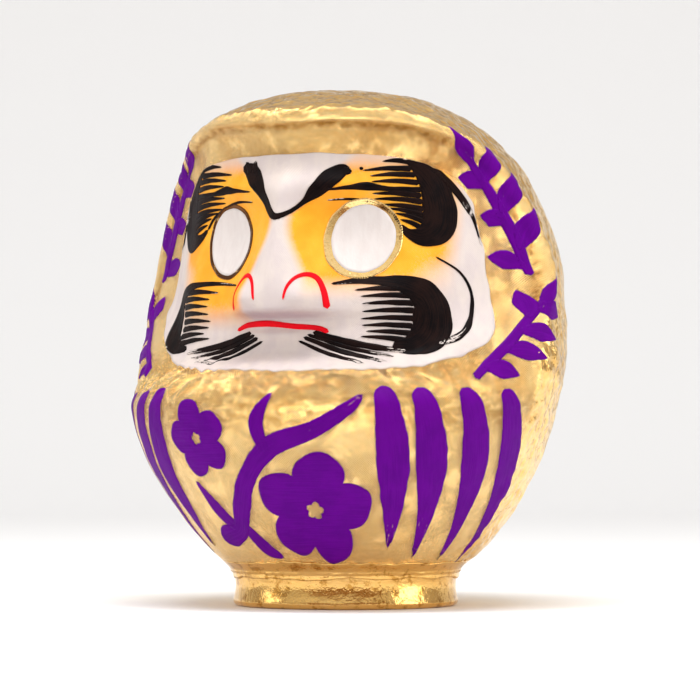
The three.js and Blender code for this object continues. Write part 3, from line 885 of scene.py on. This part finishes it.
SWOOSH = [(59.6, 136.6, 0.6), (67.3, 131.5, 0.9), (71, 124.9, 1.1), (71, 117.9, 1.3), (67.8, 109.8, 1.8),
          (63, 105, 2.4), (57, 102.6, 1.4)]
MOUSTACHE = [((13, 107.2), (46, 99.9), 2.6), ((11, 106.4), (42, 97.8), 1.7), ((9.5, 105.4), (38, 95.9), 2.1),
             ((7.5, 104), (31, 95), 1.5)]
NOSTRIL = [(5.2, 119.5, 0.8), (6.2, 124.6, 1.2), (8.4, 128.1, 1.4), (11.8, 129.3, 1.7), (15.2, 127.7, 1.8),
           (17.6, 122.8, 2), (18.8, 116.2, 2.5)]
FROWN = [(-25, 172.6, 2.6), (-19, 170.6, 6.2), (-13.5, 165.8, 6.4), (-9.2, 160, 4.2), (-5.6, 155, 3.4),
         (-1, 151.9, 2.6), (3.6, 153.7, 1.7), (8.4, 157.8, 2), (13.2, 162, 5.4), (18.6, 166.6, 7.2),
         (23.6, 169.8, 5.4), (27, 171, 2)]
MOUTH = [(-21, 108.4, 1.4), (-15, 110.3, 2), (-5, 110.8, 2.3), (5, 109.7, 2.2), (14.5, 108.9, 2),
         (19, 107.3, 1.8)]
FROWN_HAIRS = [[(-19, 170, 4.2), (-23.4, 174.4, 1.4)], [(-17, 169.6, 4), (-17.4, 174.6, 1.4)],
               [(24, 169.6, 4.2), (28, 169.4, 1.6)]]
FROWN_DOT = [(31.2, 170.4, 1), (32, 170.6, 1.3), (32.8, 170.4, 0.9)]
LEFT_BROW = (38, 18, 5)  # the left brow and whisker are painted further round:
LEFT_WHISKER = (24, 10, 8)  # from so many degrees, over so many degrees, by so many
LEFT_NARROW = 0.62  # width of the left whisker's curl against the right one's


def mirror(points, side, further=(0, 1, 0), narrow=1.0):
    """Mirrors points for the left half, where some ink also sits further round and is narrower."""
    if side > 0:
        return points
    start, over, by = further
    moved = [(-p[0] - by * float(ease(start, start + over, p[0])), *p[1:]) for p in points]
    return [(*p[:2], p[2] * narrow) if len(p) > 2 else p for p in moved]


def make_face_ink(tree):
    """Brows, whiskers, nostril lines, frown and mouth."""
    for side, label in SIDES:
        brow = Paint(f"crane_brow_{label}", tree, black, INK_LIFT)
        brow.stroke(mirror(BROW, side, LEFT_BROW), wobble=0.07, blunt=(0.9, 0.6), dry=(0.1, 0.25), seed=side)
        brow.stroke(mirror(BROW_EDGE, side), wobble=0.1, dry=(0.1, 0.7), seed=side + 3)
        brow.stroke(mirror(BROW_SPECKLE, side), wobble=0.3, dry=(1.2, 1.3), seed=side + 4)
        brow.stroke(mirror(BROW_LOCK, side, LEFT_BROW), wobble=0.16, dry=(0.5, 0), seed=side + 5)
        brow.stroke(mirror(LASH, side, LEFT_BROW), wobble=0.2, dry=(0.1, 0.7), seed=side + 6)
        for i, ends in enumerate(BROW_HAIRS):
            brow.hair(*mirror(ends, side, LEFT_BROW), 2.3, 0.5, seed=side * 5 + i)
        brow.finish(f"brow_{label}")
        whisker = Paint(f"turtle_whisker_{label}", tree, black, INK_LIFT)
        whisker.stroke(mirror(WHISKER, side, LEFT_WHISKER, LEFT_NARROW), wobble=0.07, dry=(0.6, 0.2),
                       seed=side + 8)
        if side > 0:
            whisker.stroke(SWOOSH, wobble=0.25, dry=(0.6, 0.9), seed=10)
        for i, ends in enumerate(WHISKER_HAIRS):
            whisker.hair(*mirror(ends, side, LEFT_WHISKER), 2.4, 0.4, seed=side * 7 + i)
        for i, (start, end, width) in enumerate(MOUSTACHE):
            middle = ((start[0] + end[0]) / 2, (start[1] + end[1]) / 2 - 0.8)
            points = [(*start, width * 0.7), (*middle, width), (*end, width * 0.6)]
            whisker.stroke(mirror(points, side, LEFT_BROW), wobble=0.18, dry=(0, 0.9), ragged=4,
                           seed=side * 11 + i)
        whisker.finish(f"whisker_{label}")
        nostril = Paint(f"nostril_line_{label}_red", tree, red, OVER_LIFT)
        nostril.stroke(mirror(NOSTRIL, side), wobble=0.08, blunt=(0.5, 0.9), seed=side + 21)
        nostril.finish(f"nostril_line_{label}")
    frown = Paint("frown_brow", tree, black, OVER_LIFT)
    frown.stroke(FROWN, wobble=0.1, blunt=(0.5, 0.8), dry=(0.3, 0.2), seed=31)
    for seed, points in zip((32, 33, 35), FROWN_HAIRS):
        frown.stroke(points, dry=(0, 0.6), seed=seed)
    frown.stroke(FROWN_DOT, seed=34)
    frown.finish("frown")
    mouth = Paint("red_mouth", tree, red, OVER_LIFT)
    mouth.stroke(MOUTH, wobble=0.08, blunt=(0.7, 0.9), seed=41)
    mouth.finish("mouth")


# ---------- purple brushwork
STRIPE_TOPS = (35, 45, 58, 71)  # degrees round from the front
LARGE_BLOSSOM = {"at": (15.5, 39), "reach": 13.2, "petal": 8.8, "hole": 3.4, "turn": 10}
SMALL_BLOSSOM = {"at": (-18.5, 66.5), "reach": 9.0, "petal": 6.2, "hole": 2.4, "turn": -14}
TWIG = [(-29, 27, 3), (-24, 28.5, 8), (-16, 31, 6.5), (-10.5, 40, 7.5), (-4, 52, 7), (5, 63.5, 8),
        (17, 70, 6.5), (26, 78, 5), (29.5, 82.5, 2)]
TWIG_BRANCHES = [
    [(-13, 33, 4), (-8, 24, 6), (-2, 20.5, 1.5)],
    [(-17, 31.5, 4), (-22, 39, 6.5), (-25, 50, 1.5)],
    [(3, 61, 4), (1.5, 73, 6), (5.5, 84, 1.5)],
]
SKIN_SCALE = 1.48  # mm per degree beside the face
# A spray's leaves are (share of the stem, side of it, length).
UPPER_SPRAY = {"from": (87.5, 130), "to": (74.5, 175), "bow": 3.2,
               "leaves": [(0.06, -1, 14), (0.2, 1, 19), (0.42, -1, 10), (0.5, 1, 19), (0.74, -1, 13),
                          (0.78, 1, 17)]}
LOWER_SPRAY = {"from": (63.5, 89.5), "to": (88, 120), "bow": 1.5,
               "leaves": [(0.14, 1, 15), (0.4, 1, 18), (0.64, 1, 17), (0.8, -1, 11), (0.9, 1, 14)]}
LEAF_TILT = math.radians(50)
LEAF_WIDTH = 7.6


def spray_strokes(spray):
    """A bowed stem and its pointed leaves, each a list of (degrees, z, width)."""
    start = np.array(spray["from"]) * [SKIN_SCALE, 1]
    way = np.array(spray["to"]) * [SKIN_SCALE, 1] - start
    length = np.linalg.norm(way)
    along = way / length
    across = np.array([along[1], -along[0]])

    def on_stem(share):
        return start + way * share + across * spray["bow"] * math.sin(math.pi * share)

    def point(place, width):
        return (place[0] / SKIN_SCALE, place[1], width)

    strokes = [[point(on_stem(t), w) for t, w in ((0, 2.6), (0.33, 3.6), (0.66, 3.2), (1, 2.4))]]
    for share, side, size in spray["leaves"]:
        tip_way = along * math.cos(LEAF_TILT) + across * side * math.sin(LEAF_TILT)
        root = on_stem(share)
        droop = along * size * 0.1
        strokes.append([point(root, 1.6), point(root + tip_way * size * 0.45 + droop, LEAF_WIDTH),
                        point(root + tip_way * size, 0.8)])
    strokes.append([point(on_stem(0.95), 2), point(on_stem(1.12), 5.6), point(on_stem(1.3), 0.8)])
    return strokes


def blossom_rim(flower):
    """The outline of five round petals that run into each other."""
    (degrees, z), reach, petal = flower["at"], flower["reach"], flower["petal"]
    scale = math.radians(float(body_radius(np.array(math.radians(degrees)), np.array(float(z)))))

    def rim(turn):
        fifth = 2 * math.pi / 5
        lean = np.mod(turn - math.radians(flower["turn"]) + fifth / 2, fifth) - fifth / 2
        radius = reach * np.cos(lean) + np.sqrt(petal ** 2 - (reach * np.sin(lean)) ** 2)
        radius = radius * (1 + 0.025 * np.sin(3 * turn + reach) + 0.015 * np.sin(11 * turn))
        return degrees + radius * np.sin(turn) / scale, z + radius * np.cos(turn)
    return rim


def make_purple(tree):
    """Four strokes and two sprays on each side, and the plum twig with its blossoms between them."""
    for side, label in SIDES:
        for i, top in enumerate(STRIPE_TOPS):
            drift = 7 + 2.5 * i
            low = 24 - 1.5 * i + 2 * (i == 0)
            points = [(top, 86.5 - i * 0.4, 7.5), (top + 0.2 * drift, 76, 10.5), (top + 0.5 * drift, 58, 13),
                      (top + 0.8 * drift, 40, 8), (top + drift, low, 1.8)]
            stripe = Paint(f"shoulder_stroke_{label}_{i + 1}", tree, purple)
            stripe.stroke(mirror(points, side), wobble=0.09, blunt=(1.0, 0.4), dry=(0.15, 0.45),
                          ragged=4, seed=side * 50 + 7 * i)
            stripe.finish(f"stripe_{label}_{i + 1}")
        for part, spray in (("upper", UPPER_SPRAY), ("lower", LOWER_SPRAY)):
            sprig = Paint(f"leaf_spray_{part}_{label}", tree, purple)
            for i, points in enumerate(spray_strokes(spray)):
                sprig.stroke(mirror(points, side), wobble=0.08, blunt=(0.6, 0.4), dry=(0, 0.35),
                             seed=side * 70 + i * 3)
            sprig.finish(f"sprig_{part}_{label}")

    for size, flower in (("large", LARGE_BLOSSOM), ("small", SMALL_BLOSSOM)):
        blossom = Paint(f"plum_blossom_{size}", tree, purple)
        hole = flower["hole"] / (flower["reach"] + flower["petal"])
        blossom.ring(flower["at"], blossom_rim(flower), hole, rings=14, segments=180)
        blossom.finish(f"blossom_{size}")
    twig = Paint("plum_twig", tree, purple)
    twig.stroke(TWIG, wobble=0.1, blunt=(0.7, 0.5), dry=(0.1, 0.4), ragged=3, seed=91)
    for i, points in enumerate(TWIG_BRANCHES):
        twig.stroke(points, wobble=0.09, blunt=(0.7, 0.5), dry=(0, 0.4), seed=93 + i)
    twig.finish("twig")


# ---------- the foot
def turned_rings(profile, columns, unevenness, seed):
    """Rings through (radius, z) corners, each point moved in or out a little."""
    turn = np.linspace(0, 2 * math.pi, columns, endpoint=False)
    rings = []
    for radius, z in profile:
        points = np.stack([radius * np.sin(turn), -radius * np.cos(turn), 0 * turn + z], -1)
        shift = unevenness * field(points, 14, seed) + 0.3 * unevenness * field(points, 4, seed)
        out = points / [radius, radius, 1] * [1, 1, 0]
        rings.append(points + out * shift[:, None])
    return rings


def make_foot():
    """The gilt ring: slightly waisted, its lower edge rounded."""
    edge = 2.2
    radius = FOOT_RADIUS - 0.3  # leaves room for the unevenness
    profile = [(FOOT_INNER, 0), (FOOT_INNER, FOOT_HEIGHT)]
    profile += [(r, FOOT_HEIGHT) for r in np.linspace(FOOT_INNER + 1, FOOT_RADIUS - 1.2, 4)]
    for z in np.linspace(FOOT_HEIGHT - 0.4, edge, 14):
        waist = 1.0 * math.sin(math.pi * (z - edge) / (FOOT_HEIGHT - edge))
        profile.append((radius - waist, z))
    for turn in np.linspace(0.2, math.pi / 2, 6):
        profile.append((radius - edge * (1 - math.cos(turn)), edge * (1 - math.sin(turn))))
    rings = turned_rings(profile[::-1], 240, 0.35, 6.1)
    for ring in rings:
        ring[:, 2] = np.clip(ring[:, 2], 0, None)
    turned_piece("gilt_foot", rings, gold_foot, "foot_ring")


STRIP_LOW = 11.6  # mean heights of the strip's torn edges, mm
STRIP_HIGH = 18.0
STRIP_LIFT = 0.42
STRIP_SINK = 0.8


def make_joint_strip():
    """Paper pasted round the joint, its torn edges wandering up and down."""
    columns = 300
    turn = np.linspace(0, 2 * math.pi, columns, endpoint=False)
    circle = np.stack([np.sin(turn), -np.cos(turn), 0 * turn], -1)
    low = STRIP_LOW + 1.6 * field(circle * 30, 13, 2.2) + 0.5 * field(circle * 30, 2.5, 9.1)
    high = STRIP_HIGH + 1.4 * field(circle * 30, 11, 7.7) + 0.6 * field(circle * 30, 3, 3.9)
    outer, inner = [], []
    for share in np.linspace(0, 1, 14):
        z = low + (high - low) * share
        wall = FOOT_RADIUS - 0.2 + 0 * z
        body = egg_radius(np.maximum(z, SEAM_Z - 0.3))
        radius = smooth_max(wall, np.where(z > SEAM_Z - 1.2, body, 0), 2.4)
        lift = STRIP_LIFT * math.sin(math.pi * min(max(share, 0.04), 0.96)) ** 0.35
        wave = lift + 0.25 * field(circle * 30 + [0, 0, share * 5], 5, 5.5) * math.sin(math.pi * share)
        level = np.stack([0 * z, 0 * z, z], -1)
        outer.append(circle * (radius + wave)[:, None] + level)
        inner.append(circle * (radius - STRIP_SINK)[:, None] + level)
    turned_piece("pasted_joint_strip", outer + inner[::-1], gold_foot, "joint_strip")


def make_cover():
    """The card disc under the foot, slightly cockled."""
    radii = np.linspace(0.5, FOOT_INNER - 0.4, 24)
    clear = 0.02  # keeps the card just off the floor
    profile = [(r, clear) for r in radii] + [(r, COVER_TOP) for r in radii[::-1]]
    rings = turned_rings(profile, 120, 0.0, 1.0)
    for ring, (radius, z) in zip(rings, profile):
        if z < COVER_TOP:
            ring[:, 2] += 0.12 * (1 + field(ring, 9, 3.3)) * min(1, (FOOT_INNER - radius) / 4)
    turned_piece("card_foot_cover", rings[::-1], card(), "foot_cover")


# ---------- building
shell = make_shell()
shell_tree = surface_tree(shell)
face = make_face()
face_tree = surface_tree(face)
make_eyes(face_tree)
make_face_ink(face_tree)
make_purple(shell_tree)
make_foot()
make_joint_strip()
make_cover()
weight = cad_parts["weight"]
weight.data.materials.clear()
weight.data.materials.append(clay())


# ---------- stage, lights and camera, m
VIEW_TURN = math.radians(25.5)  # the camera stands this far round from the front, towards +X
VIEW_OUT = Vector((math.sin(VIEW_TURN), -math.cos(VIEW_TURN), 0))
VIEW_RIGHT = Vector((math.cos(VIEW_TURN), math.sin(VIEW_TURN), 0))
CAMERA_DISTANCE = 1.44
CAMERA_HEIGHT = 0.068
CAMERA_TARGET = VIEW_RIGHT * 0.0016 + Vector((0, 0, 0.1018))
LENS = 185.2  # mm, on a 36 mm sensor
LIGHTS_AIM = Vector((0, 0, 0.1))

FLOOR_HALF_WIDTH = 4.0
FLOOR_FRONT = -4.0
FLOOR_BACK = 1.6
BACKDROP_CURVE = 0.7
BACKDROP_TOP = 1.0
CARD_HALF_WIDTH = 0.3
CARD_TOP = 0.125
CARD_AWAY = 0.42

FLOOR_WHITE = (0.95, 0.95, 0.95, 1)
BROWN_CARD = (0.26, 0.12, 0.03, 1)
WARM_GLOOM = (0.16, 0.09, 0.04, 1)
SKY_WHITE = (1, 1, 1, 1)
BACKDROP_WHITE = (0.97, 0.97, 0.97, 1)


def stage_object(name, vertices, faces, colour, roughness=0.5, gloss=0.5):
    """A plain piece of the studio, square to the view."""
    paper = Shader(name)
    paper.surface(colour, roughness, gloss)
    mesh = bpy.data.meshes.new(name)
    mesh.from_pydata(vertices, [], faces)
    mesh.polygons.foreach_set("use_smooth", [True] * len(faces))
    mesh.materials.append(paper.material)
    thing = bpy.data.objects.new(name, mesh)
    thing.rotation_euler.z = VIEW_TURN
    scene.collection.objects.link(thing)
    return thing


def make_floor():
    """A pale floor that curves up into a low backdrop."""
    bend = BACKDROP_CURVE
    profile = [(y, 0.0) for y in np.linspace(FLOOR_FRONT, FLOOR_BACK, 5)]
    for turn in np.linspace(0.1, math.pi / 2, 12):
        profile.append((FLOOR_BACK + bend * math.sin(turn), bend * (1 - math.cos(turn))))
    profile.append((FLOOR_BACK + bend, BACKDROP_TOP))
    vertices = [(x, y, z) for y, z in profile for x in (-FLOOR_HALF_WIDTH, FLOOR_HALF_WIDTH)]
    faces = [(2 * i, 2 * i + 1, 2 * i + 3, 2 * i + 2) for i in range(len(profile) - 1)]
    stage_object("studio_floor", vertices, faces, FLOOR_WHITE, roughness=0.9, gloss=0.0)


def make_card():
    """A low brown card in front of the doll: gold shows its shape by what it reflects."""
    outline = ((-1, 0), (1, 0), (1, 1), (-1, 1))
    corners = [(x * CARD_HALF_WIDTH, -CARD_AWAY, up * CARD_TOP) for x, up in outline]
    brown = stage_object("studio_card", corners, [(0, 1, 2, 3)], BROWN_CARD)
    brown.visible_camera = False
    brown.visible_diffuse = False
    brown.visible_shadow = False


def make_world():
    """White light from above and in front, dimmer and warmer at eye level and behind."""
    world = bpy.data.worlds.new("studio")
    sky = Nodes(world)
    way = sky.node("ShaderNodeTexCoord").outputs["Generated"]
    facing = sky.node("ShaderNodeVectorMath", operation="DOT_PRODUCT")
    sky.feed(facing.inputs[0], way)
    sky.feed(facing.inputs[1], VIEW_OUT)
    split = sky.node("ShaderNodeSeparateXYZ")
    sky.feed(split.inputs[0], way)
    above = sky.remap(split.outputs["Z"], 0.03, 0.7, 0.5, 1.05)
    in_front = sky.remap(facing.outputs["Value"], -0.7, 0.3, 0.5, 0.85)
    glow = sky.mix(sky.times(above, in_front), WARM_GLOOM, SKY_WHITE)
    seen = sky.mix(sky.node("ShaderNodeLightPath").outputs["Is Camera Ray"], glow, BACKDROP_WHITE)
    sky.feed(sky.tree.nodes["Background"].inputs["Color"], seen)
    scene.world = world


def softbox(name, azimuth, height, distance, size, power):
    """An area light on a circle round the doll, aimed at the middle of it."""
    light = bpy.data.lights.new(name, "AREA")
    light.shape = "RECTANGLE"
    light.size, light.size_y = size
    light.energy = power
    lamp = bpy.data.objects.new(name, light)
    turn = math.radians(azimuth)
    lamp.location = (distance * math.sin(turn), -distance * math.cos(turn), height)
    lamp.rotation_euler = (LIGHTS_AIM - lamp.location).to_track_quat("-Z", "Y").to_euler()
    scene.collection.objects.link(lamp)


def make_camera():
    data = bpy.data.cameras.new("camera")
    data.lens = LENS
    data.sensor_width = 36
    camera = bpy.data.objects.new("camera", data)
    camera.location = VIEW_OUT * CAMERA_DISTANCE + Vector((0, 0, CAMERA_HEIGHT))
    camera.rotation_mode = "QUATERNION"
    camera.rotation_quaternion = (CAMERA_TARGET - camera.location).to_track_quat("-Z", "Y")
    scene.collection.objects.link(camera)
    scene.camera = camera


make_floor()
make_card()
make_world()
softbox("top_softbox", 20, height=1.3, distance=0.35, size=(0.9, 0.4), power=13)
softbox("right_softbox", 95, height=0.25, distance=1.5, size=(0.7, 0.7), power=5)
softbox("left_softbox", -60, height=0.6, distance=1.4, size=(0.5, 0.9), power=2.5)
scene.view_settings.view_transform = "Standard"
make_camera()
